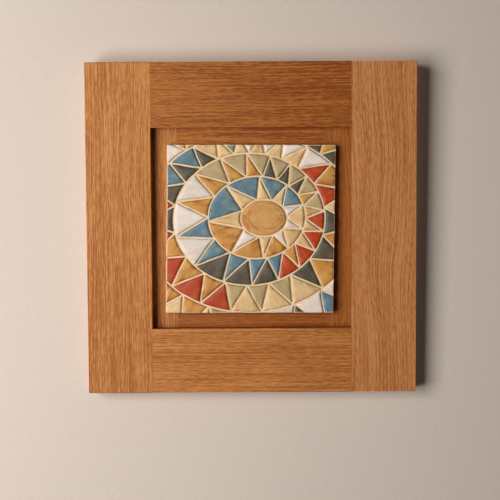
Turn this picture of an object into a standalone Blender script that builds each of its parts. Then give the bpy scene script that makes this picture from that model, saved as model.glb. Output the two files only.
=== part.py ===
"""Mosaic panel: a relief tile of a sun in rings of small fields, set in a rebated oak frame.

Two stiles run the full height and two rails butt between them. All four boards are rebated
along their inner front edge, so together they leave a stepped ledge that the tile lies on.
Metres, +Z up, front towards -Y. The origin is on the back of the top rail, at its middle.
"""

import math

import bmesh
import bpy
from mathutils import Matrix, Vector
from mathutils.geometry import delaunay_2d_cdt

# Frame
FRAME_WIDTH = 0.300
FRAME_HEIGHT = 0.301
BOARD_THICKNESS = 0.020
FACE_WIDTH = 0.059
LEDGE_WIDTH = 0.023
LEDGE_DROP = 0.010
ARRIS = 0.0004
JOINT_GAP = 0.0003

# Tile: its body up to the groove floor, and how it lies on the ledge
TILE_SIDE = 0.153
TILE_BODY = 0.0070
TILE_BED_GAP = 0.0003
TILE_SHIFT_X = -0.0010
TILE_SHIFT_Z = -0.0008
TILE_SIDE_LEAN = math.radians(0.90)
TILE_TOP_SLOPE = math.radians(-0.32)

# Relief of the tile: fields stand proud of sunk grooves, with a short draft and a soft shoulder
FIELD_RISE = 0.0010
GROOVE_FLOOR = 0.0018
FIELD_DRAFT = 0.0004
FIELD_SHOULDER = 0.0007
SHOULDER_DROP = 0.0003
CURVE_STEP = 0.0045

# Ovals that part the rings, from the sun outwards, as shares of the tile's side:
# centre X, centre Z, radius X, radius Z
OVALS = (
    (0.077, 0.066, 0.137, 0.110),
    (0.035, 0.069, 0.289, 0.245),
    (-0.009, 0.057, 0.451, 0.394),
    (-0.007, 0.033, 0.649, 0.533),
    (0.000, 0.010, 0.840, 0.720),
)

# Each ring's zigzag: how wide a triangle is for the ring's width, and where the first one starts
RING_ASPECTS = (0.975, 0.835, 0.972, 0.950)
RING_STARTS = (0.03, 0.944, 0.443, 0.20)

FRAME_TOP = FACE_WIDTH / 2
FRAME_MIDDLE = FRAME_TOP - FRAME_HEIGHT / 2
OPENING_WIDTH = FRAME_WIDTH - 2 * FACE_WIDTH
LEDGE_FRONT = LEDGE_DROP - BOARD_THICKNESS
GROOVE_FRONT = LEDGE_FRONT - TILE_BED_GAP - TILE_BODY


def clear_scene():
    for obj in list(bpy.data.objects):
        bpy.data.objects.remove(obj, do_unlink=True)


def material(name, colour, roughness, coat=0.0):
    """A Principled material in the piece's own plain colour."""
    made = bpy.data.materials.new(name)
    made.use_nodes = True
    shader = made.node_tree.nodes["Principled BSDF"]
    shader.inputs["Base Color"].default_value = (*colour, 1.0)
    shader.inputs["Roughness"].default_value = roughness
    shader.inputs["Metallic"].default_value = 0.0
    shader.inputs["Coat Weight"].default_value = coat
    return made


def new_object(name, mesh, finish):
    obj = bpy.data.objects.new(name, mesh)
    bpy.context.scene.collection.objects.link(obj)
    if finish:
        mesh.materials.append(finish)
    return obj


def mesh_from(name, bm):
    bmesh.ops.recalc_face_normals(bm, faces=bm.faces)
    mesh = bpy.data.meshes.new(name)
    bm.to_mesh(mesh)
    bm.free()
    return mesh


def rebated_length(name, length):
    """An L-shaped board lying along X: its outer edge at z = 0, its back at y = 0."""
    profile = (
        (0.0, 0.0),
        (-BOARD_THICKNESS, 0.0),
        (-BOARD_THICKNESS, -FACE_WIDTH),
        (LEDGE_FRONT, -FACE_WIDTH),
        (LEDGE_FRONT, -FACE_WIDTH - LEDGE_WIDTH),
        (0.0, -FACE_WIDTH - LEDGE_WIDTH),
    )
    bm = bmesh.new()
    end = bm.faces.new([bm.verts.new((-length / 2, y, z)) for y, z in profile])
    run = bmesh.ops.extrude_face_region(bm, geom=[end])["geom"]
    bmesh.ops.translate(
        bm, vec=(length, 0.0, 0.0), verts=[v for v in run if isinstance(v, bmesh.types.BMVert)]
    )
    return mesh_from(name, bm)


def lap_cutter(rail, shoulder, end):
    """Takes the back off one end of a rail, where it laps over a stile's ledge."""
    reach = 2 * LEDGE_WIDTH
    depth = 2 * BOARD_THICKNESS
    bm = bmesh.new()
    bmesh.ops.create_cube(bm, size=1.0)
    bmesh.ops.scale(bm, vec=(reach, depth, 2 * (FACE_WIDTH + LEDGE_WIDTH)), verts=bm.verts)
    bmesh.ops.translate(
        bm,
        vec=(end * (shoulder + reach / 2), LEDGE_FRONT - JOINT_GAP + depth / 2, -FACE_WIDTH),
        verts=bm.verts,
    )
    cutter = new_object(f"{rail.name}_lap_cutter", mesh_from("lap_cutter", bm), None)
    cutter.parent = rail
    cutter.hide_render = True
    cutter.display_type = "WIRE"
    return cutter


def add_arris(obj):
    bevel = obj.modifiers.new("arris", "BEVEL")
    bevel.width = ARRIS
    bevel.segments = 1
    bevel.limit_method = "ANGLE"
    bevel.angle_limit = math.radians(30)


def make_stile(name, side, finish):
    """A full-height board, turned so that its rebate faces the opening."""
    stile = new_object(name, rebated_length(name, FRAME_HEIGHT), finish)
    stile.location = (side * FRAME_WIDTH / 2, 0.0, FRAME_MIDDLE)
    stile.rotation_euler = (0.0, side * math.pi / 2, 0.0)
    add_arris(stile)


def make_rail(name, side, finish):
    """A board between the stiles, its face butting on theirs and its ledge on their ledges."""
    rail = new_object(name, rebated_length(name, OPENING_WIDTH - 2 * JOINT_GAP), finish)
    rail.location = (0.0, 0.0, FRAME_MIDDLE + side * FRAME_HEIGHT / 2)
    rail.rotation_euler = (0.0, 0.0 if side > 0 else math.pi, 0.0)
    shoulder = OPENING_WIDTH / 2 - LEDGE_WIDTH - JOINT_GAP
    for end in (-1, 1):
        cut = rail.modifiers.new("lap", "BOOLEAN")
        cut.operation = "DIFFERENCE"
        cut.solver = "EXACT"
        cut.object = lap_cutter(rail, shoulder, end)
    add_arris(rail)


def oval(number, grow=0.0):
    """One of the ovals in metres, grown or shrunk all round."""
    x, z, radius_x, radius_z = (share * TILE_SIDE for share in OVALS[number])
    return x, z, radius_x + grow, radius_z + grow


def on_oval(shape, angle):
    x, z, radius_x, radius_z = shape
    return Vector((x + radius_x * math.cos(angle), z + radius_z * math.sin(angle)))


def zigzag(inner, outer, aspect, start):
    """Angles of a ring's zigzag, inner and outer corners by turns.

    A triangle is as wide as aspect times the ring's width where it stands, so the fields
    are large on the side where the ovals lie far apart.
    """
    steps = 720
    angles = [2 * math.pi * i / steps for i in range(steps + 1)]
    middle = [(on_oval(inner, a) + on_oval(outer, a)) / 2 for a in angles]
    width = [(on_oval(outer, a) - on_oval(inner, a)).length for a in angles]
    run = [0.0]
    for i in range(steps):
        run.append(run[-1] + (middle[i + 1] - middle[i]).length * 2 / (width[i] + width[i + 1]))
    count = round(run[-1] / aspect)
    corners = []
    i = 0
    for k in range(2 * count):
        goal = run[-1] * (start + k / 2) / count
        turn = math.floor(goal / run[-1])
        goal -= turn * run[-1]
        i = next(j for j in range(steps) if run[j + 1] > goal)
        share = (goal - run[i]) / (run[i + 1] - run[i])
        corners.append(2 * math.pi * (turn + (i + share) / steps))
    return corners


def meet_oval(point, direction, shape, near):
    """Where a straight line crosses an oval, taking the crossing nearest to a point."""
    x, z, radius_x, radius_z = shape
    start = Vector(((point.x - x) / radius_x, (point.y - z) / radius_z))
    along = Vector((direction.x / radius_x, direction.y / radius_z))
    a, b, c = along.dot(along), 2 * start.dot(along), start.dot(start) - 1
    root = math.sqrt(max(b * b - 4 * a * c, 0.0))
    hits = [point + direction * ((-b + sign * root) / (2 * a)) for sign in (-1, 1)]
    return min(hits, key=lambda hit: (hit - near).length)


def meet_line(p, along_p, q, along_q):
    return p + along_p * ((q - p).cross(along_q) / along_p.cross(along_q))


def field_outline(number, outward, base, tip, inset, arc_steps):
    """Outline of one three-sided field, inset from the groove's centre line, anticlockwise.

    The base lies along oval `number` between two angles. A field that points outwards stands
    outside that oval and one that points inwards lies inside it. The tip is opposite.
    """
    sign = 1 if outward else -1
    line = oval(number)
    start, end = on_oval(line, base[0]), on_oval(line, base[1])
    out = (start - tip).normalized()
    back = (tip - end).normalized()
    side_a = tip + Vector((-out.y, out.x)) * inset
    side_b = tip + Vector((-back.y, back.x)) * inset
    shape = oval(number, sign * inset)
    corner_a = meet_oval(side_a, out, shape, start)
    corner_b = meet_oval(side_b, back, shape, end)

    def angle_near(point, old):
        x, z, radius_x, radius_z = shape
        angle = math.atan2((point.y - z) / radius_z, (point.x - x) / radius_x)
        return angle + 2 * math.pi * round((old - angle) / (2 * math.pi))

    first = angle_near(corner_a, base[0])
    last = angle_near(corner_b, base[1])
    points = [meet_line(side_a, out, side_b, back)]
    points += [on_oval(shape, first + (last - first) * i / arc_steps) for i in range(arc_steps + 1)]
    return points


def ring_fields(ring):
    """Every field between two ovals: one on each zigzag corner, pointing in and out by turns."""
    inner, outer = oval(ring), oval(ring + 1)
    corners = zigzag(inner, outer, RING_ASPECTS[ring], RING_STARTS[ring])
    full = 2 * math.pi
    for k, angle in enumerate(corners):
        before = corners[k - 1] - (full if k == 0 else 0.0)
        after = corners[(k + 1) % len(corners)] + (full if k + 1 == len(corners) else 0.0)
        if k % 2:
            yield ring, True, (after, before), on_oval(outer, angle)
        else:
            yield ring + 1, False, (before, after), on_oval(inner, angle)


def field_levels():
    """Inset from the groove's centre line, and height over its floor, up one field's edge."""
    foot = GROOVE_FLOOR / 2
    shoulder = foot + FIELD_DRAFT
    return (
        (foot, 0.0),
        (shoulder, FIELD_RISE - SHOULDER_DROP),
        (shoulder + FIELD_SHOULDER, FIELD_RISE),
    )


def raise_field(bm, outlines):
    """Walls between a field's outlines and a flat top; returns the outline of its foot."""
    loops = []
    for outline, (_, height) in zip(outlines, field_levels()):
        loops.append([bm.verts.new((p.x, GROOVE_FRONT - height, p.y)) for p in outline])
    for low, high in zip(loops, loops[1:]):
        for i in range(len(low)):
            j = (i + 1) % len(low)
            bm.faces.new((low[i], low[j], high[j], high[i]))
    bm.faces.new(loops[-1])
    return outlines[0]


def lay_groove_floor(bm, feet):
    """The sunk ground between the fields, one flat sheet with a hole for every foot."""
    reach = 2 * max(max(shares) for shares in OVALS) * TILE_SIDE
    points = [Vector((sx * reach, sz * reach)) for sx, sz in ((-1, -1), (1, -1), (1, 1), (-1, 1))]
    faces = [[0, 1, 2, 3]]
    for foot in feet:
        faces.append(list(range(len(points), len(points) + len(foot))))
        points += foot
    flat, _, tris, _, _, sources = delaunay_2d_cdt(points, [], faces, 1, 1e-7, True)
    verts = [bm.verts.new((p.x, GROOVE_FRONT, p.y)) for p in flat]
    for tri, source in zip(tris, sources):
        if list(source) == [0]:
            bm.faces.new([verts[i] for i in tri])


def cut_square(bm):
    """Cuts the pattern off at the tile's four edges."""
    half = TILE_SIDE / 2
    for normal in ((1, 0, 0), (-1, 0, 0), (0, 0, 1), (0, 0, -1)):
        bmesh.ops.bisect_plane(
            bm,
            geom=bm.verts[:] + bm.edges[:] + bm.faces[:],
            dist=1e-7,
            plane_co=Vector(normal) * half,
            plane_no=normal,
            clear_outer=True,
        )


def close_back(bm):
    """Drops the cut edges to the tile's flat back and closes it."""
    rim = [edge for edge in bm.edges if edge.is_boundary]
    walls = bmesh.ops.extrude_edge_only(bm, edges=rim)["geom"]
    for vert in (v for v in walls if isinstance(v, bmesh.types.BMVert)):
        vert.co.y = LEDGE_FRONT - TILE_BED_GAP
    rim = [edge for edge in bm.edges if edge.is_boundary]
    back = bmesh.ops.holes_fill(bm, edges=rim, sides=0)["faces"]
    bmesh.ops.poke(bm, faces=back)


def make_tile(finish):
    """The relief tile, slightly out of square and turned on its ledge as a hand-set tile is."""
    bm = bmesh.new()
    half = TILE_SIDE / 2
    feet = []
    sun_steps = round(2 * math.pi * oval(0)[2] / CURVE_STEP)
    sun = []
    for inset, _ in field_levels():
        shape = oval(0, -inset)
        sun.append([on_oval(shape, 2 * math.pi * i / sun_steps) for i in range(sun_steps)])
    feet.append(raise_field(bm, sun))
    for ring in range(len(OVALS) - 1):
        for number, outward, base, tip in ring_fields(ring):
            ends = [on_oval(oval(number), a) for a in base] + [tip]
            if min(max(abs(p.x), abs(p.y)) for p in ends) > half + FACE_WIDTH:
                continue
            arc_steps = max(2, round((ends[0] - ends[1]).length / CURVE_STEP))
            outlines = [
                field_outline(number, outward, base, tip, inset, arc_steps)
                for inset, _ in field_levels()
            ]
            feet.append(raise_field(bm, outlines))
    lay_groove_floor(bm, feet)
    bmesh.ops.remove_doubles(bm, verts=bm.verts, dist=1e-6)
    cut_square(bm)
    bmesh.ops.remove_doubles(bm, verts=bm.verts, dist=1e-6)
    close_back(bm)
    lean = Matrix.Identity(4)
    lean[0][0], lean[2][0] = math.cos(TILE_TOP_SLOPE), math.sin(TILE_TOP_SLOPE)
    lean[0][2], lean[2][2] = math.sin(TILE_SIDE_LEAN), math.cos(TILE_SIDE_LEAN)
    bmesh.ops.transform(bm, matrix=lean, verts=bm.verts)
    tile = new_object("mosaic_tile", mesh_from("mosaic_tile", bm), finish)
    tile.location = (TILE_SHIFT_X, 0.0, FRAME_MIDDLE + TILE_SHIFT_Z)


clear_scene()
make_stile("left_stile", -1, material("left_stile_oak", (0.45, 0.20, 0.075), 0.55))
make_stile("right_stile", 1, material("right_stile_oak", (0.42, 0.19, 0.070), 0.55))
make_rail("top_rail", 1, material("top_rail_oak", (0.38, 0.16, 0.055), 0.55))
make_rail("bottom_rail", -1, material("bottom_rail_oak", (0.42, 0.18, 0.065), 0.55))
make_tile(material("mosaic_glaze", (0.55, 0.40, 0.22), 0.35, coat=0.3))
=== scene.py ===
"""Looks of the mosaic panel: an oiled oak frame with a glazed sun tile bedded on its ledge.

Lengths are in metres, apart from values named in MM and the sizes of noise, in millimetres.
"""

import math
import random

import bmesh
import bpy
from mathutils import Matrix, Vector
from mathutils.geometry import delaunay_2d_cdt


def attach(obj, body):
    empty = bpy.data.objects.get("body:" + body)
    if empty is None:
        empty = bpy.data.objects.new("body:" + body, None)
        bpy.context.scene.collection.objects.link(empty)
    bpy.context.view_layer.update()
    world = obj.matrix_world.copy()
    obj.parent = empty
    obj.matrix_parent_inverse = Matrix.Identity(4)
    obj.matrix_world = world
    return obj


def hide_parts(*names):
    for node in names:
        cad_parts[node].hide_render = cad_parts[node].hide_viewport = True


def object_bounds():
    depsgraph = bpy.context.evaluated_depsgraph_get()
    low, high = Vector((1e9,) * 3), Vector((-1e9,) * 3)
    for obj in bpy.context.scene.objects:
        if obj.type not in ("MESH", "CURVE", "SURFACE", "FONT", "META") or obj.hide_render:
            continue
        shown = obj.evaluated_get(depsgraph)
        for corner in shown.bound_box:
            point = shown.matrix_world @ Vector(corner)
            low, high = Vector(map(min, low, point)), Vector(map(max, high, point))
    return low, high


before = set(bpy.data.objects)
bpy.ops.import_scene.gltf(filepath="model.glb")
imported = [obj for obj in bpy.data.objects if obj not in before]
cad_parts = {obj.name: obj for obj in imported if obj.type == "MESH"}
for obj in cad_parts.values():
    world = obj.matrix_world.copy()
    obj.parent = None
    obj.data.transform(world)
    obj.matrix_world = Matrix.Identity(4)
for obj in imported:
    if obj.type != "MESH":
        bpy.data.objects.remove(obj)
cad_box = [list(corner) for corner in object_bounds()]


# The oak frame: two upright stiles with two rails butted between them, planed from solid oak,
# rebated along the inner edge so that a ledge runs round the opening, glued up flush and
# rubbed with oil. The face joints are tight and show only by the turn of the grain.

FACE_WIDTH = 0.059
FACE_DEPTH = 0.010
LEDGE_WIDTH = 0.023
ARRIS = 0.0005
ARRIS_STEPS = 3
ARRIS_PROFILE = 0.6
GLUE_LINE = 0.00004
SNAP = 0.0002  # two places nearer than this are the same
SQUARE_ON = 0.999  # a face that looks this squarely along an axis is shaded flat
TO_MM = 1000.0
RING_MM = 3.0
OIL_IOR = 1.47
MATHS = "ShaderNodeMath"
VECTORS = "ShaderNodeVectorMath"
RANGE = "ShaderNodeMapRange"
SMOOTH = {"interpolation_type": "SMOOTHSTEP"}
MIX = "ShaderNodeMix"
COLOURS = {"data_type": "RGBA"}


def linear(code):
    """The linear colour of an sRGB hex code."""
    parts = [int(code[i : i + 2], 16) / 255 for i in (0, 2, 4)]
    return (*(p / 12.92 if p <= 0.04045 else ((p + 0.055) / 1.055) ** 2.4 for p in parts), 1.0)


def add(tree, kind, values=(), **settings):
    """Adds a node, sets it up, gives its inputs values or links, and returns its outputs.

    `values` goes by input, as a dict, or in order from the first input, as a tuple.
    """
    made = tree.nodes.new(kind)
    for name, value in settings.items():
        setattr(made, name, value)
    for key, value in values.items() if isinstance(values, dict) else enumerate(values):
        if isinstance(value, bpy.types.NodeSocket):
            tree.links.new(value, made.inputs[key])
        else:
            made.inputs[key].default_value = value
    return made.outputs


def blotches(tree, place, size, detail, seed):
    """Noise whose spots are as large as `size`, in the units of `place`."""
    vector = add(tree, "ShaderNodeMapping", {0: place, 3: [1 / s for s in size]})[0]
    values = {"Vector": vector, "W": seed, "Scale": 1.0, "Detail": detail, "Roughness": 0.55}
    return add(tree, "ShaderNodeTexNoise", values, noise_dimensions="4D")[0]


def new_material(name):
    made = bpy.data.materials.new(name)
    made.use_nodes = True
    return made, made.node_tree, made.node_tree.nodes["Principled BSDF"]


def oiled_oak(name, pale, dark, pore, recess_shade, turn, pith, sway, light_falloff_and_drift, shift, seed):
    """Planed and oiled oak: fine dark pore streaks in bands of early wood, on a satin face.

    The growth rings lie round a pith line beside the board, so the faces show long grain and
    the sawn ends show arcs. `turn` brings the grain upright and `pith` is in millimetres. The
    grain swings sideways by `sway` millimetres and darkens by `shift`. It also darkens steadily
    across the board by the given share a metre: on the rails this is painted shade, the light
    falling off away from the lamp on the left; the left stile darkens towards its outer edge
    and its foot. The ledge and the inner walls of the rebate are painted darker by the given
    share, as painted shade in the recess.
    Oak's pores are 0.3 mm wide and are drawn 0.8 to 0.9 mm wide, since finer ones don't show
    at this distance.
    """
    made, tree, shader = new_material(name)
    place = add(tree, "ShaderNodeTexCoord")["Object"]
    straight = add(tree, "ShaderNodeMapping", (place, pith, turn, (TO_MM,) * 3))[0]
    swing = blotches(tree, straight, (50, 50, 110), 0.0, seed + 4)
    swing = add(tree, "ShaderNodeCombineXYZ", (swing,))[0]
    grain = add(tree, VECTORS, (swing, (sway, 0, 0), straight), operation="MULTIPLY_ADD")[0]
    drift = blotches(tree, grain, (26, 26, 150), 1.0, seed)
    flat = add(tree, VECTORS, (grain, (1, 1, 0)), operation="MULTIPLY")[0]
    radius = add(tree, VECTORS, (flat,), operation="LENGTH")[1]
    radius = add(tree, MATHS, (drift, 9.0, radius), operation="MULTIPLY_ADD")[0]
    ring = add(tree, MATHS, (radius, RING_MM), operation="DIVIDE")[0]
    ring = add(tree, MATHS, (ring,), operation="FRACT")[0]
    onset = add(tree, RANGE, (ring, 0.0, 0.12), **SMOOTH)[0]
    early = add(tree, RANGE, (ring, 0.45, 0.0), **SMOOTH)[0]
    early = add(tree, MATHS, (early, onset), operation="MULTIPLY")[0]
    fibre = blotches(tree, grain, (0.9, 0.9, 8), 2.0, seed + 1)
    thread = blotches(tree, grain, (0.8, 0.8, 100), 1.0, seed + 5)
    fibre = add(tree, MATHS, (fibre, 0.66, -0.19), operation="MULTIPLY_ADD")[0]
    fibre = add(tree, MATHS, (thread, 0.64, fibre), operation="MULTIPLY_ADD")[0]
    fine = blotches(tree, grain, (0.8, 0.8, 7), 1.0, seed + 2)
    patch = blotches(tree, grain, (12, 12, 90), 1.0, seed + 3)
    # Painted shade: the tone darkens steadily across the board; on the rails it is the light's
    # falloff.
    along = add(tree, VECTORS, (place, light_falloff_and_drift), operation="DOT_PRODUCT")[1]
    tone = add(tree, MATHS, (early, 0.10, fibre), operation="MULTIPLY_ADD")[0]
    tone = add(tree, MATHS, (patch, 0.24, tone), operation="MULTIPLY_ADD")[0]
    tone = add(tree, MATHS, (tone, shift), operation="ADD")[0]
    tone = add(tree, MATHS, (tone, along), operation="ADD")[0]
    deep = add(tree, RANGE, (tone, 0.44, 0.76), **SMOOTH)[0]
    base = add(tree, MIX, {0: deep, 6: linear(pale), 7: linear(dark)}, **COLOURS)[2]
    holes = add(tree, MATHS, (early, 0.10, fine), operation="MULTIPLY_ADD")[0]
    holes = add(tree, RANGE, (holes, 0.58, 0.72, 0.0, 0.4), **SMOOTH)[0]
    base = add(tree, MIX, {0: holes, 6: base, 7: linear(pore)}, **COLOURS)[2]
    # Painted shade: the rebate's ledge and inner walls are darkened, as shade in the recess.
    ledge = add(tree, "ShaderNodeAttribute", attribute_name="recess_shade")["Fac"]
    values = {0: ledge, 6: base, 7: linear(recess_shade)}
    base = add(tree, MIX, values, blend_type="MULTIPLY", **COLOURS)[2]
    tree.links.new(base, shader.inputs["Base Color"])
    rough = add(tree, RANGE, (fibre, 0.3, 0.7, 0.48, 0.62), **SMOOTH)[0]
    tree.links.new(rough, shader.inputs["Roughness"])
    height = add(tree, MATHS, (holes, -1.0, fibre), operation="MULTIPLY_ADD")[0]
    bump = add(tree, "ShaderNodeBump", {"Strength": 0.4, "Distance": 0.0002, "Height": height})[0]
    tree.links.new(bump, shader.inputs["Normal"])
    shader.inputs["IOR"].default_value = OIL_IOR
    shader.inputs["Specular IOR Level"].default_value = 0.35
    return made


def mesh_object(name, bm):
    mesh = bpy.data.meshes.new(name)
    bm.to_mesh(mesh)
    bm.free()
    made = bpy.data.objects.new(name, mesh)
    bpy.context.scene.collection.objects.link(made)
    return made


def apply_modifiers(made):
    """Turns an object and its modifiers into a plain mesh."""
    view = bpy.context.evaluated_depsgraph_get()
    mesh = bpy.data.meshes.new_from_object(made.evaluated_get(view))
    made.modifiers.clear()
    made.data = mesh


def slab(name, low, high):
    """A plain box between two corners."""
    bm = bmesh.new()
    bmesh.ops.create_cube(bm, size=1.0)
    bmesh.ops.scale(bm, vec=high - low, verts=bm.verts)
    bmesh.ops.translate(bm, vec=(low + high) / 2, verts=bm.verts)
    return mesh_object(name, bm)


def board(node, face, back, joints, finish):
    """One board: a face slab on a wider back slab, joined as one, with its open edges eased.

    `joints` says of an edge's middle whether another board is glued there.
    """
    made = slab(f"{node}_board", *face)
    wider = slab(f"{node}_back", *back)
    union = made.modifiers.new("one_board", "BOOLEAN")
    union.operation, union.solver, union.object = "UNION", "EXACT", wider
    apply_modifiers(made)
    bpy.data.objects.remove(wider, do_unlink=True)
    bm = bmesh.new()
    bm.from_mesh(made.data)
    bmesh.ops.dissolve_limit(bm, angle_limit=math.radians(1), verts=bm.verts, edges=bm.edges)
    for level in (open_low.z, open_high.z, open_low.z + LEDGE_WIDTH, open_high.z - LEDGE_WIDTH):
        parts = bm.verts[:] + bm.edges[:] + bm.faces[:]
        bmesh.ops.bisect_plane(bm, geom=parts, plane_co=(0, 0, level), plane_no=(0, 0, 1))
    eased = []
    for edge in bm.edges:
        middle = (edge.verts[0].co + edge.verts[1].co) / 2
        if edge.calc_face_angle_signed(0) > 1 and not joints(middle):
            eased.append(edge)
    bmesh.ops.bevel(
        bm,
        geom=eased,
        offset=ARRIS,
        offset_type="OFFSET",
        segments=ARRIS_STEPS,
        profile=ARRIS_PROFILE,
        affect="EDGES",
    )
    # Faces of the rebate, its ledge and inner walls, are marked for the oak's painted recess
    # shade.
    recess_shade = bm.faces.layers.float.new("recess_shade")
    for face in bm.faces:
        place = face.calc_center_median()
        face.smooth = max(abs(part) for part in face.normal) < SQUARE_ON
        inside = abs(place.x) < open_high.x + SNAP
        inside = inside and open_low.z - SNAP < place.z < open_high.z + SNAP
        face[recess_shade] = 1.0 if inside and low.y + ARRIS < place.y < ledge_y + ARRIS else 0.0
    bm.to_mesh(made.data)
    bm.free()
    made.data.materials.append(finish)
    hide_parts(node)
    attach(made, "root")


low, high = (Vector(corner) for corner in cad_box)
middle = (low + high) / 2
inward = Vector((FACE_WIDTH, 0, FACE_WIDTH))
open_low, open_high = low + inward, high - inward
ledge_y = low.y + FACE_DEPTH


def stile_joint(middle):
    beside_face = abs(abs(middle.x) - open_high.x) < SNAP and middle.y < ledge_y - SNAP
    at_face = beside_face and not open_low.z < middle.z < open_high.z
    beside_ledge = abs(abs(middle.x) - open_high.x + LEDGE_WIDTH) < SNAP
    at_ledge = beside_ledge and not (
        open_low.z + LEDGE_WIDTH < middle.z < open_high.z - LEDGE_WIDTH
    )
    return at_face or at_ledge


def rail_joint(middle):
    beside_face = abs(abs(middle.x) - open_high.x) < SNAP
    return beside_face or abs(abs(middle.x) - open_high.x + LEDGE_WIDTH) < SNAP


# Each board's pale, dark and pore shades and its painted recess shade, then its turn, pith,
# sway, steady darkening (painted shade of the light's falloff on the rails), shift and seed.
OAK_SHADES = {
    "left_stile": ("CC8C4B", "A45C1A", "6E3810", "EFE9D8"),
    "right_stile": ("D1905B", "AC672F", "7C4520", "CDB874"),
    "top_rail": ("B5702B", "863E02", "522000", "FFFFFF"),
    "bottom_rail": ("C98547", "A15C1C", "733A12", "D3BA80"),
}
GRAIN_UP = (0.0, 0.0, 0.0)
GRAIN_ACROSS = (0.0, math.radians(90), 0.0)
OAK_GRAIN = {
    "left_stile": (GRAIN_UP, (190, 60, 0), 6, (-1, 0, -0.22), -0.128, 3.0),
    "right_stile": (GRAIN_UP, (-20, 75, 0), 16, (0, 0, 0), 0.0, 11.0),
    "top_rail": (GRAIN_ACROSS, (60, 40, 0), 5, (0.46, 0, 0), 0.005, 23.0),
    "bottom_rail": (GRAIN_ACROSS, (-190, 90, 0), 5, (0.32, 0, 0), 0.0, 37.0),
}
for node, side in (("left_stile", -1), ("right_stile", 1)):
    xs = sorted((side * open_high.x, side * high.x))
    ledge_xs = sorted((side * (open_high.x - LEDGE_WIDTH), side * high.x))
    face = Vector((xs[0], low.y, low.z)), Vector((xs[1], ledge_y, high.z))
    back = Vector((ledge_xs[0], ledge_y, low.z)), Vector((ledge_xs[1], high.y, high.z))
    oak = oiled_oak(f"{node}_oiled_oak", *OAK_SHADES[node], *OAK_GRAIN[node])
    board(node, face, back, stile_joint, oak)
for node, side in (("top_rail", 1), ("bottom_rail", -1)):
    edge, shoulder = (high.z, open_high.z) if side > 0 else (low.z, open_low.z)
    zs = sorted((edge, shoulder))
    ledge_zs = sorted((edge, shoulder - side * LEDGE_WIDTH))
    reach = open_high.x - GLUE_LINE
    face = Vector((-reach, low.y, zs[0])), Vector((reach, ledge_y, zs[1]))
    reach -= LEDGE_WIDTH
    back = Vector((-reach, ledge_y, ledge_zs[0])), Vector((reach, high.y, ledge_zs[1]))
    oak = oiled_oak(f"{node}_oiled_oak", *OAK_SHADES[node], *OAK_GRAIN[node])
    board(node, face, back, rail_joint, oak)


# The sun tile: one hand-pressed stoneware tile whose small three-sided fields stand proud of
# sunk grooves, in rings round an oval sun. Each field is brushed with its own satin glaze and
# the grooves are left bare cream clay. It is bedded on the ledge, a little out of square.

TILE_SIDE = 0.153
TILE_BODY = 0.0064
GLUE_BED = 0.0003
TILE_BACK = ledge_y - GLUE_BED
TILE_SHIFT_X = -0.0010
TILE_SHIFT_Z = -0.0008
TILE_SIDE_LEAN = math.radians(0.90)
TILE_TOP_SLOPE = math.radians(-0.32)
GROOVE_HALF = 0.0026
GLAZE_EDGE = 0.0008
GLAZE_RAGGED = 0.0003
GLAZE_IOR = 1.5
SUN_STROKE_MM = 2.2
SUN_PATCH_MM = 9
BARE_RIM = 0.0007
FIELD_RISE = 0.0018
CROWN = 0.00012
CROWN_FROM, CROWN_TO = 0.001, 0.006
WOBBLE = 0.0009
WOBBLE_SIZE = 0.014
RIPPLE = 0.12
POINT_STEP = 0.0014
FILL_STEP = 0.0020
MERGE = 0.000002
CUT_SNAP = 1e-7
ZIGZAG_STEPS = 720
KEPT_WITHIN = 0.62  # fields centred further out than this share of the side miss the tile
SEED = 7
# The sheet is cut at these insets, from the tile's edge and from a groove's centre line. Up a
# field's wall the height follows the profile, as shares of the half width and of the rise.
EDGE_LEVELS = (0.0, 0.0002, 0.0005, 0.0009)
WALL_LEVELS = (0.0007, 0.0010, 0.0013, 0.0017, 0.0021)
WALL_PROFILE = ((0.27, 0.01), (0.38, 0.40), (0.50, 0.72), (0.65, 0.88), (0.82, 0.97))
# At the tile's very edge the fields keep this share of their height.
EDGE_HEIGHT = 0.6
SAME_NUMBER = {"data_type": "INT", "operation": "EQUAL"}
AT_POINTS = {"data_type": "FLOAT", "domain": "POINT"}
# The five ovals, from the sun outwards: centre and radii as shares of the tile's side. In each
# ring a field is as wide as its aspect times the ring's width.
OVALS = (
    (0.077, 0.066, 0.137, 0.110),
    (0.035, 0.069, 0.289, 0.245),
    (-0.009, 0.057, 0.451, 0.394),
    (-0.007, 0.033, 0.649, 0.533),
    (0.000, 0.010, 0.840, 0.720),
)
RING_ASPECTS = (0.975, 0.835, 0.972, 0.950)
RING_STARTS = (0.03, 0.944, 0.443, 0.20)


def oval(number, grow=0.0):
    """An oval's centre and radii in metres, grown or shrunk all round."""
    x, z, radius_x, radius_z = (share * TILE_SIDE for share in OVALS[number])
    return x, z, radius_x + grow, radius_z + grow


def on_oval(shape, angle):
    x, z, radius_x, radius_z = shape
    return Vector((x + radius_x * math.cos(angle), z + radius_z * math.sin(angle)))


def zigzag(inner, outer, aspect, start):
    """Angles of a ring's zigzag: triangles as wide as `aspect` times the ring where they stand."""
    steps = ZIGZAG_STEPS
    angles = [2 * math.pi * i / steps for i in range(steps + 1)]
    line = [(on_oval(inner, a) + on_oval(outer, a)) / 2 for a in angles]
    width = [(on_oval(outer, a) - on_oval(inner, a)).length for a in angles]
    run = [0.0]
    for i in range(steps):
        run.append(run[-1] + (line[i + 1] - line[i]).length * 2 / (width[i] + width[i + 1]))
    count = round(run[-1] / aspect)
    corners = []
    for k in range(2 * count):
        goal = run[-1] * (start + k / 2) / count
        turn = math.floor(goal / run[-1])
        goal -= turn * run[-1]
        i = next(j for j in range(steps) if run[j + 1] > goal)
        share = (goal - run[i]) / (run[i + 1] - run[i])
        corners.append(2 * math.pi * (turn + (i + share) / steps))
    return corners


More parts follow.
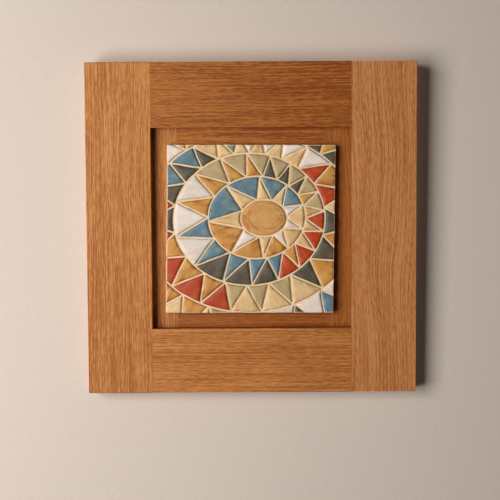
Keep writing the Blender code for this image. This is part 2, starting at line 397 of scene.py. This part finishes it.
def meet_oval(point, direction, shape, near):
    """Where a straight line crosses an oval, taking the crossing nearest to a point."""
    x, z, radius_x, radius_z = shape
    start = Vector(((point.x - x) / radius_x, (point.y - z) / radius_z))
    along = Vector((direction.x / radius_x, direction.y / radius_z))
    a, b, c = along.dot(along), 2 * start.dot(along), start.dot(start) - 1
    root = math.sqrt(max(b * b - 4 * a * c, 0.0))
    hits = [point + direction * ((-b + sign * root) / (2 * a)) for sign in (-1, 1)]
    return min(hits, key=lambda hit: (hit - near).length)


def stepped(points):
    """A closed outline with points about every POINT_STEP."""
    fine = []
    for a, b in zip(points, points[1:] + points[:1]):
        count = max(1, round((b - a).length / POINT_STEP))
        fine += [a.lerp(b, i / count) for i in range(count)]
    return fine


def field_outline(number, sign, base, tip, inset):
    """One field's outline, inset from the groove's centre line: a tip and an arc of an oval."""
    line = oval(number)
    start, end = on_oval(line, base[0]), on_oval(line, base[1])
    out, back = (start - tip).normalized(), (tip - end).normalized()
    side_a = tip + Vector((-out.y, out.x)) * inset
    side_b = tip + Vector((-back.y, back.x)) * inset
    shape = oval(number, sign * inset)
    angles = []
    for side, way, corner, old in ((side_a, out, start, base[0]), (side_b, back, end, base[1])):
        point = meet_oval(side, way, shape, corner)
        angle = math.atan2((point.y - shape[1]) / shape[3], (point.x - shape[0]) / shape[2])
        angles.append(angle + 2 * math.pi * round((old - angle) / (2 * math.pi)))
    steps = max(2, round((start - end).length / POINT_STEP))
    sweep = angles[1] - angles[0]
    arc = [on_oval(shape, angles[0] + sweep * i / steps) for i in range(steps + 1)]
    meet = side_a + out * ((side_b - side_a).cross(back) / out.cross(back))
    return stepped([meet] + arc)


# Glazes by ring, anticlockwise from the ring's first corner, in runs of a glaze and how many
# fields have it: first the fields that point inwards, then those that point outwards.
RING_GLAZES = (
    (
        "cream 1, blue 4, amber 3, tan 1",
        "white 1, cream 4, white 1, cream 1, white 2",
    ),
    (
        "sage 7, white 3, charcoal 3, red 4",
        "amber 1, charcoal 3, amber 4, blue 5, amber 1, tan 3",
    ),
    (
        "cream 1, amber 1, white 4, green 1, cream 1, blue 2, red 5, cream 3, amber 2",
        "red 2, cream 2, tan 1, cream 2, charcoal 4, amber 3, sage 3, charcoal 3",
    ),
    (
        "amber 10, white 1, amber 5, cream 4, charcoal 1, blue 3",
        "charcoal 4, amber 5, white 1, amber 7, sage 2, white 3, charcoal 2",
    ),
)
# Each glaze: its main shade, where it lay thin, where it pooled (also its painted shade at
# the field's edges), and its seed.
GLAZES = {
    "sun": ("D8A05C", "DEAC68", "BE7826", 21.0),
    "white": ("EADCD2", "F2E8E0", "DCC9B4", 22.0),
    "cream": ("E8C38C", "EFD2A3", "D0A468", 23.0),
    "tan": ("DBB27C", "E5C292", "C09055", 24.0),
    "sage": ("BCA577", "C1AC80", "A08A5C", 25.0),
    "amber": ("D19443", "DBA75A", "A65D18", 26.0),
    "red": ("BE410C", "CA5C20", "A03008", 27.0),
    "blue": ("5F8296", "8A988C", "4B6B78", 28.0),
    "green": ("748F82", "8FA28C", "5A7C70", 29.0),
    "charcoal": ("58503F", "6A624F", "43392B", 30.0),
}
CLAY = linear("E9D4B6")


def unglazed_clay(name):
    """Bare cream stoneware: matt, faintly freckled, a little darker where slip has pooled."""
    made, tree, shader = new_material(name)
    place = add(tree, "ShaderNodeTexCoord")["Object"]
    place = add(tree, "ShaderNodeMapping", {0: place, 3: (TO_MM,) * 3})[0]
    cloud = blotches(tree, place, (7, 7, 7), 3.0, 41.0)
    slip = add(tree, RANGE, (cloud, 0.35, 0.7), **SMOOTH)[0]
    base = add(tree, MIX, {0: slip, 6: CLAY, 7: linear("E0C296")}, **COLOURS)[2]
    freckle = blotches(tree, place, (0.8, 0.8, 0.8), 1.0, 42.0)
    iron = add(tree, RANGE, (freckle, 0.66, 0.75, 0.0, 0.5), **SMOOTH)[0]
    base = add(tree, MIX, {0: iron, 6: base, 7: linear("B98F5C")}, **COLOURS)[2]
    tree.links.new(base, shader.inputs["Base Color"])
    bump = add(tree, "ShaderNodeBump", {"Strength": 0.5, "Distance": 0.0001, "Height": freckle})[0]
    tree.links.new(bump, shader.inputs["Normal"])
    shader.inputs["Roughness"].default_value = 0.8
    shader.inputs["IOR"].default_value = GLAZE_IOR
    return made


def satin_glaze(name, main, thin, pooled, seed):
    """Brushed satin glaze: clouded where it lay thick or thin, breaking to clay on the edges.

    The brush went round and round on the sun, and along each field, where it left lines. They
    are 1.2 mm wide, coarser than a real brush's, so that they show. The pooled colour is laid
    stronger towards each field's edge and only near the sun's rim: partly glaze run there,
    partly painted shade of the rounded edges.
    """
    made, tree, shader = new_material(f"{name}_satin_glaze")
    place = add(tree, "ShaderNodeTexCoord")["Object"]
    place = add(tree, "ShaderNodeMapping", {0: place, 3: (TO_MM,) * 3})[0]
    batch = add(tree, "ShaderNodeAttribute", attribute_name="batch")["Fac"]
    cover = add(tree, "ShaderNodeAttribute", attribute_name="cover")["Fac"]
    if name == "sun":
        rounds = add(tree, MATHS, (cover, TO_MM / SUN_STROKE_MM), operation="MULTIPLY")[0]
        rounds = add(tree, "ShaderNodeCombineXYZ", (rounds,))[0]
        values = (place, (1 / SUN_PATCH_MM,) * 3, rounds)
        brush = add(tree, VECTORS, values, operation="MULTIPLY_ADD")[0]
        stroke = blotches(tree, brush, (1, 1, 1), 2.0, seed + 0.5)
        stroke = add(tree, RANGE, (stroke, 0.32, 0.68), **SMOOTH)[0]
        # Painted shade, partly glaze pooled at the rim: the pooled colour shows only near the
        # sun's edge.
        edge_pool_and_shade = add(tree, RANGE, (cover, 0.0110, 0.0055, 0.0, 0.9), **SMOOTH)[0]
    else:
        turn = add(tree, "ShaderNodeAttribute", attribute_name="stroke")["Fac"]
        values = {"Vector": place, "Angle": turn}
        brush = add(tree, "ShaderNodeVectorRotate", values, rotation_type="Y_AXIS")[0]
        stroke = blotches(tree, brush, (14, 5, 4), 1.5, seed + 0.5)
        # Painted shade, partly glaze run to the edge: the pooled colour grows towards each field's
        # edge.
        values = (cover, GLAZE_EDGE + 0.0035, GLAZE_EDGE + GLAZE_RAGGED, 0.5, 1.0)
        edge_pool_and_shade = add(tree, RANGE, values, **SMOOTH)[0]
        lines = blotches(tree, brush, (10, 1.2, 1.2), 1.0, seed + 0.7)
        lines = add(tree, RANGE, (lines, 0.2, 0.8, -0.35, 0.35), **SMOOTH)[0]
        batch = add(tree, MATHS, (batch, lines), operation="ADD")[0]
    cloud = blotches(tree, place, (9, 9, 9), 1.0, seed)
    worn = add(tree, RANGE, (cloud, 0.42, 0.68, 0.0, 0.7), **SMOOTH)[0]
    base = add(tree, MIX, {0: worn, 6: linear(main), 7: linear(thin)}, **COLOURS)[2]
    pool_and_shade = add(tree, RANGE, (stroke, 0.44, 0.68), **SMOOTH)[0]
    pool_and_shade = add(tree, MATHS, (pool_and_shade, edge_pool_and_shade), operation="MULTIPLY")[0]
    base = add(tree, MIX, {0: pool_and_shade, 6: base, 7: linear(pooled)}, **COLOURS)[2]
    value = add(tree, MATHS, (batch, 0.14, 0.90), operation="MULTIPLY_ADD")[0]
    value = add(tree, MATHS, (stroke, 0.06, value), operation="MULTIPLY_ADD")[0]
    base = add(tree, "ShaderNodeHueSaturation", {"Color": base, "Value": value})[0]
    ragged = add(tree, MATHS, (cloud, GLAZE_RAGGED, cover), operation="MULTIPLY_ADD")[0]
    glazed = add(tree, RANGE, (ragged, GLAZE_EDGE, GLAZE_EDGE + GLAZE_RAGGED), **SMOOTH)[0]
    base = add(tree, MIX, {0: glazed, 6: CLAY, 7: base}, **COLOURS)[2]
    tree.links.new(base, shader.inputs["Base Color"])
    rough = add(tree, RANGE, (cloud, 0.3, 0.7, 0.42, 0.54), **SMOOTH)[0]
    tree.links.new(rough, shader.inputs["Roughness"])
    bump = add(tree, "ShaderNodeBump", {"Strength": 0.3, "Distance": 0.0001, "Height": stroke})[0]
    tree.links.new(bump, shader.inputs["Normal"])
    shader.inputs["IOR"].default_value = GLAZE_IOR
    return made


def ring_fields(ring):
    """Each field between two ovals: (glaze, [outline at each level up its edge])."""
    inner, outer = oval(ring), oval(ring + 1)
    corners = zigzag(inner, outer, RING_ASPECTS[ring], RING_STARTS[ring])
    names = []
    for runs in RING_GLAZES[ring]:
        pairs = (run.split() for run in runs.split(", "))
        names.append([glaze for glaze, count in pairs for _ in range(int(count))])
    wrapped = [corners[-1] - 2 * math.pi, *corners, corners[0] + 2 * math.pi]
    for k, angle in enumerate(corners):
        before, after = wrapped[k], wrapped[k + 2]
        if k % 2:
            shape = (ring, 1, (after, before), on_oval(outer, angle))
        else:
            shape = (ring + 1, -1, (before, after), on_oval(inner, angle))
        centre = (on_oval(inner, angle) + on_oval(outer, angle)) / 2
        if max(abs(centre.x), abs(centre.y)) < TILE_SIDE * KEPT_WITHIN:
            yield names[k % 2][k // 2], [field_outline(*shape, inset) for inset in WALL_LEVELS]


def groove_lines():
    """Centre lines of the grooves: every oval, and the zigzag between each two."""
    for number in range(len(OVALS)):
        steps = round(2 * math.pi * oval(number)[2] / POINT_STEP)
        line = [on_oval(oval(number), 2 * math.pi * i / steps) for i in range(steps)]
        yield line + line[:1]
    for ring in range(len(OVALS) - 1):
        ends = oval(ring), oval(ring + 1)
        corners = zigzag(*ends, RING_ASPECTS[ring], RING_STARTS[ring])
        line = [on_oval(ends[k % 2], angle) for k, angle in enumerate(corners)]
        yield line + line[:1]


def square(inset):
    half = TILE_SIDE / 2 - inset
    signs = ((-1, -1), (1, -1), (1, 1), (-1, 1))
    return stepped([Vector((sx * half, sz * half)) for sx, sz in signs])


def flat_tile():
    """The tile before it is pressed: one flat sheet cut along every outline, closed behind."""
    points, edges, faces, glaze_of, stroke_of = [], [], [], [None], [0.0]

    def loop(outline, as_face):
        first = len(points)
        points.extend(outline)
        ring = list(range(first, len(points)))
        if as_face:
            faces.append(ring)
        else:
            edges.extend(zip(ring, ring[1:] + ring[:1]))

    for level, inset in enumerate(EDGE_LEVELS):
        loop(square(inset), as_face=level == 0)
    sun_steps = round(2 * math.pi * oval(0)[2] / POINT_STEP)
    sun = [
        [on_oval(oval(0, -inset), 2 * math.pi * i / sun_steps) for i in range(sun_steps)]
        for inset in WALL_LEVELS
    ]
    fields = [("sun", sun)]
    for ring in range(len(OVALS) - 1):
        fields += ring_fields(ring)
    for glaze, outlines in fields:
        glaze_of.append(glaze)
        brush = sum(outlines[-1], Vector((0, 0))) / len(outlines[-1]) - outlines[-1][0]
        stroke_of.append(math.atan2(brush.y, brush.x))
        for level, outline in enumerate(outlines):
            loop(outline, as_face=level == 0)
    for line in groove_lines():
        first = len(points)
        points.extend(line)
        edges.extend((i, i + 1) for i in range(first, len(points) - 1))
    half = TILE_SIDE / 2
    count = round(TILE_SIDE / FILL_STEP)
    for i in range(1, count):
        for j in range(1, count):
            points.append(Vector((i / count * TILE_SIDE - half, j / count * TILE_SIDE - half)))
    flat, _, tris, _, _, sources = delaunay_2d_cdt(points, edges, faces, 0, CUT_SNAP, True)
    bm = bmesh.new()
    glaze_layer = bm.faces.layers.int.new("glaze")
    batch_layer = bm.faces.layers.float.new("batch")
    stroke_layer = bm.faces.layers.float.new("stroke")
    chance = random.Random(SEED)
    batch = [chance.random() for _ in glaze_of]
    verts = [bm.verts.new((p.x, 0.0, p.y)) for p in flat]
    order = list(GLAZES)
    for tri, source in zip(tris, sources):
        if 0 in source:
            face = bm.faces.new([verts[i] for i in tri])
            field = max(source)
            face.smooth = True
            face[glaze_layer] = order.index(glaze_of[field]) + 1 if field else 0
            face[batch_layer] = batch[field]
            face[stroke_layer] = stroke_of[field]
    bmesh.ops.delete(bm, geom=[v for v in bm.verts if not v.link_faces], context="VERTS")
    bmesh.ops.remove_doubles(bm, verts=bm.verts, dist=MERGE)
    front_rim = [edge for edge in bm.edges if edge.is_boundary]
    walls = bmesh.ops.extrude_edge_only(bm, edges=front_rim)["geom"]
    for vert in (v for v in walls if isinstance(v, bmesh.types.BMVert)):
        vert.co.y = TILE_BODY
    rim = [edge for edge in bm.edges if edge.is_boundary]
    for edge in front_rim + rim:
        edge.smooth = False
    bmesh.ops.triangulate(bm, faces=bmesh.ops.holes_fill(bm, edges=rim, sides=0)["faces"])
    bmesh.ops.recalc_face_normals(bm, faces=bm.faces)
    for face in bm.faces:
        if any(vert.co.y > 0 for vert in face.verts):
            face[glaze_layer] = 0
    for line in groove_lines():
        run = [bm.verts.new((p.x, 0.0, p.y)) for p in line]
        for pair in zip(run, run[1:]):
            bm.edges.new(pair)
    return mesh_object("sun_tile", bm)


def pressing(materials):
    """Node tree that presses the relief into the flat tile from its distance to the grooves."""
    tree = bpy.data.node_groups.new("pressed_relief", "GeometryNodeTree")
    sizes = {
        "Groove half width": GROOVE_HALF,
        "Field rise": FIELD_RISE,
        "Crown": CROWN,
        "Edge softening": EDGE_LEVELS[-1],
        "Half side": TILE_SIDE / 2,
        "Glaze edge": GLAZE_EDGE,
        "Bare rim": BARE_RIM,
        "Body": TILE_BODY,
        "Line wobble": WOBBLE,
        "Wobble size": WOBBLE_SIZE,
        "Seed": SEED,
    }
    tree.interface.new_socket("Geometry", in_out="INPUT", socket_type="NodeSocketGeometry")
    tree.interface.new_socket("Geometry", in_out="OUTPUT", socket_type="NodeSocketGeometry")
    settings = {}
    for name, value in sizes.items():
        socket = tree.interface.new_socket(name, in_out="INPUT", socket_type="NodeSocketFloat")
        settings[socket.identifier] = value
    for name, value in materials.items():
        socket = tree.interface.new_socket(name, in_out="INPUT", socket_type="NodeSocketMaterial")
        settings[socket.identifier] = value
    given = add(tree, "NodeGroupInput")
    count = add(tree, "GeometryNodeInputMeshEdgeNeighbors")[0]
    loose = add(tree, "FunctionNodeCompare", {2: count, 3: 0}, **SAME_NUMBER)[0]
    values = (given["Geometry"], loose)
    lines, sheet = add(tree, "GeometryNodeSeparateGeometry", values, domain="EDGE")
    near = add(tree, "GeometryNodeProximity", (lines,), target_element="EDGES")["Distance"]
    values = {0: sheet, "Name": "inset", "Value": near}
    sheet = add(tree, "GeometryNodeStoreNamedAttribute", values, **AT_POINTS)[0]
    inset = add(tree, "GeometryNodeInputNamedAttribute", {"Name": "inset"}, data_type="FLOAT")[0]
    place = add(tree, "GeometryNodeInputPosition")[0]
    axis = add(tree, "ShaderNodeSeparateXYZ", (place,))

    # The height over a groove follows the wall's profile, then the field's slight crown.
    values = (inset, given["Groove half width"])
    up_wall = add(tree, MATHS, values, operation="DIVIDE", use_clamp=True)[0]
    curve = tree.nodes.new("ShaderNodeFloatCurve")
    profile = curve.mapping.curves[0].points
    for x, y in WALL_PROFILE:
        profile.new(x, y)
    curve.mapping.update()
    tree.links.new(up_wall, curve.inputs["Value"])
    rise = add(tree, MATHS, (curve.outputs[0], given["Field rise"]), operation="MULTIPLY")[0]
    crown = add(tree, RANGE, (inset, CROWN_FROM, CROWN_TO, 0.0, given["Crown"]))[0]
    height = add(tree, MATHS, (rise, crown), operation="ADD")[0]

    # The glaze stops short of the tile's edge, and the relief is softened there.
    across = add(tree, MATHS, (axis[0],), operation="ABSOLUTE")[0]
    upward = add(tree, MATHS, (axis[2],), operation="ABSOLUTE")[0]
    outer = add(tree, MATHS, (across, upward), operation="MAXIMUM")[0]
    rim = add(tree, MATHS, (given["Half side"], outer), operation="SUBTRACT")[0]
    bare = add(tree, MATHS, (given["Glaze edge"], given["Bare rim"]), operation="SUBTRACT")[0]
    bare = add(tree, MATHS, (rim, bare), operation="ADD")[0]
    cover = add(tree, MATHS, (inset, bare), operation="MINIMUM")[0]
    values = {0: sheet, "Name": "cover", "Value": cover}
    sheet = add(tree, "GeometryNodeStoreNamedAttribute", values, **AT_POINTS)[0]
    values = (rim, given["Edge softening"])
    soft = add(tree, MATHS, values, operation="DIVIDE", use_clamp=True)[0]
    soft = add(tree, MATHS, (soft, 0.5), operation="POWER")[0]
    soft = add(tree, MATHS, (soft, 1 - EDGE_HEIGHT, EDGE_HEIGHT), operation="MULTIPLY_ADD")[0]
    height = add(tree, MATHS, (height, soft), operation="MULTIPLY")[0]
    half_body = add(tree, MATHS, (given["Body"], 0.5), operation="MULTIPLY")[0]
    in_front = add(tree, MATHS, (axis[1], half_body), operation="LESS_THAN")[0]
    height = add(tree, MATHS, (height, in_front), operation="MULTIPLY")[0]

    # Hand pressing makes every line and edge wander a little, and the face ripple.
    plan = add(tree, VECTORS, (place, (1.0, 0.0, 1.0)), operation="MULTIPLY")[0]
    scale = add(tree, MATHS, (1.0, given["Wobble size"]), operation="DIVIDE")[0]
    values = {"Vector": plan, "W": given["Seed"], "Scale": scale, "Detail": 1.0}
    noise = add(tree, "ShaderNodeTexNoise", values, noise_dimensions="4D")[1]
    shift = add(tree, VECTORS, (noise, (0.5, 0.5, 0.5)), operation="SUBTRACT")[0]
    values = {0: shift, "Scale": given["Line wobble"]}
    shift = add(tree, VECTORS, values, operation="SCALE")[0]
    moved = add(tree, "ShaderNodeSeparateXYZ", (shift,))
    ripple = add(tree, MATHS, (moved[1], RIPPLE), operation="MULTIPLY")[0]
    ripple = add(tree, MATHS, (ripple, in_front), operation="MULTIPLY")[0]
    depth = add(tree, MATHS, (ripple, height), operation="SUBTRACT")[0]
    offset = add(tree, "ShaderNodeCombineXYZ", (moved[0], depth, moved[2]))[0]
    pressed = add(tree, "GeometryNodeSetPosition", {0: sheet, "Offset": offset})[0]
    pressed = add(tree, "GeometryNodeRealizeInstances", (pressed,))[0]
    glaze = add(tree, "GeometryNodeInputNamedAttribute", {"Name": "glaze"}, data_type="INT")
    glaze = next(s for s in glaze if s.enabled and s.name == "Attribute")
    for number, name in enumerate(materials):
        mine = add(tree, "FunctionNodeCompare", {2: glaze, 3: number}, **SAME_NUMBER)[0]
        pressed = add(tree, "GeometryNodeSetMaterial", (pressed, mine, given[name]))[0]
    add(tree, "NodeGroupOutput", (pressed,))
    return tree, settings


tile = flat_tile()
finishes = {"clay": unglazed_clay("bare_cream_clay")}
for name, shades in GLAZES.items():
    finishes[name] = satin_glaze(name, *shades)
press = tile.modifiers.new("pressed_relief", "NODES")
press.node_group, settings = pressing(finishes)
for identifier, value in settings.items():
    press[identifier] = value
apply_modifiers(tile)
lean = Matrix.Identity(4)
lean[0][0], lean[2][0] = math.cos(TILE_TOP_SLOPE), math.sin(TILE_TOP_SLOPE)
lean[0][2], lean[2][2] = math.sin(TILE_SIDE_LEAN), math.cos(TILE_SIDE_LEAN)
lean.translation = (middle.x + TILE_SHIFT_X, TILE_BACK - TILE_BODY, middle.z + TILE_SHIFT_Z)
tile.data.transform(lean)
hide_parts("mosaic_tile")
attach(tile, "root")


# The studio: a plain pale wall just behind the panel, one soft light from the left, a light
# behind the wall for views of the back, and the camera that took the photograph. The wall
# leans back, as the shadow is wider at the top, and its faint glow stands for a room's light.

CAMERA_PLACE = (-0.0061, -1.0189, -0.0743)
CAMERA_YAW = math.radians(0.26)
CAMERA_PITCH = math.radians(3.80)
CAMERA_ROLL = math.radians(-0.32)
CAMERA_LENS = 79.2
WALL_GAP = 0.0004
WALL_LEAN = math.radians(1.5)
WALL_HALF = 2.5
ROOM_LIGHT = 0.0235
KEY_PLACE = Vector((-0.735, -0.955, 0.0))
KEY_SIZE = (0.69, 0.97)
KEY_POWER = 17.6
BACK_PLACE = Vector((-0.5, 1.2, 0.5))
BACK_SIZE = (1.0, 1.0)
BACK_POWER = 12.0
SKY_LIGHT = 0.030
SKY_SEEN = 0.75

bm = bmesh.new()
bmesh.ops.create_grid(bm, x_segments=1, y_segments=1, size=WALL_HALF)
upright = Matrix.Rotation(math.pi / 2 - WALL_LEAN, 4, "X")
turned = Matrix.Translation((0, high.y + WALL_GAP, low.z)) @ upright
bmesh.ops.transform(bm, matrix=turned, verts=bm.verts)
wall = mesh_object("pale_wall", bm)

# Pale plaster: two close shades in a fine weave, matt. It is clear from behind, so that the
# panel's back can be seen.
plaster, tree, shader = new_material("pale_plaster")
place = add(tree, "ShaderNodeTexCoord")["Object"]
place = add(tree, "ShaderNodeMapping", {0: place, 3: (TO_MM,) * 3})[0]
weave = blotches(tree, place, (1.5, 1.5, 1.5), 3.0, 51.0)
woven = add(tree, RANGE, (weave, 0.3, 0.7), **SMOOTH)[0]
shade = add(tree, MIX, {0: woven, 6: linear("D9CEC5"), 7: linear("D3C7BC")}, **COLOURS)[2]
tree.links.new(shade, shader.inputs["Base Color"])
shader.inputs["Roughness"].default_value = 0.9
shader.inputs["Emission Color"].default_value = linear("E6DCD0")
shader.inputs["Emission Strength"].default_value = ROOM_LIGHT
behind = add(tree, "ShaderNodeNewGeometry")["Backfacing"]
clear = add(tree, "ShaderNodeBsdfTransparent")[0]
both = add(tree, "ShaderNodeMixShader", (behind, shader.outputs[0], clear))[0]
tree.links.new(both, tree.nodes["Material Output"].inputs[0])
wall.data.materials.append(plaster)
wall.visible_shadow = False


def soft_light(name, place, size, power, colour):
    """A soft box at a place, turned to the middle of the panel."""
    light = bpy.data.lights.new(name, "AREA")
    light.shape, light.size, light.size_y = "RECTANGLE", *size
    light.energy, light.color = power, colour[:3]
    lamp = bpy.data.objects.new(name, light)
    lamp.location = middle + place
    lamp.rotation_euler = (-place).to_track_quat("-Z", "Y").to_euler()
    bpy.context.scene.collection.objects.link(lamp)


soft_light("window_light", KEY_PLACE, KEY_SIZE, KEY_POWER, linear("FFFAF4"))
soft_light("back_light", BACK_PLACE, BACK_SIZE, BACK_POWER, linear("FFFFFF"))

# The sky is bright to the camera alone, as a pale ground in side views, and lights very little.
world = bpy.data.worlds.new("studio")
bpy.context.scene.world = world
world.use_nodes = True
tree = world.node_tree
sky = tree.nodes["Background"]
seen = add(tree, "ShaderNodeLightPath")["Is Camera Ray"]
strength = add(tree, RANGE, {0: seen, 3: SKY_LIGHT, 4: SKY_SEEN})[0]
tree.links.new(strength, sky.inputs["Strength"])
sky.inputs["Color"].default_value = linear("F4EEE6")

camera = bpy.data.objects.new("camera", bpy.data.cameras.new("camera"))
camera.data.lens = CAMERA_LENS
camera.location = CAMERA_PLACE
forward = Vector(
    (
        math.sin(CAMERA_YAW) * math.cos(CAMERA_PITCH),
        math.cos(CAMERA_YAW) * math.cos(CAMERA_PITCH),
        -math.sin(CAMERA_PITCH),
    )
)
level = Vector((math.cos(CAMERA_YAW), -math.sin(CAMERA_YAW), 0.0))
right = level * math.cos(CAMERA_ROLL) + level.cross(forward) * math.sin(CAMERA_ROLL)
axes = Matrix((right, right.cross(forward), -forward)).transposed()
camera.rotation_euler = axes.to_euler()
bpy.context.scene.collection.objects.link(camera)
bpy.context.scene.camera = camera
bpy.context.scene.view_settings.view_transform = "Standard"
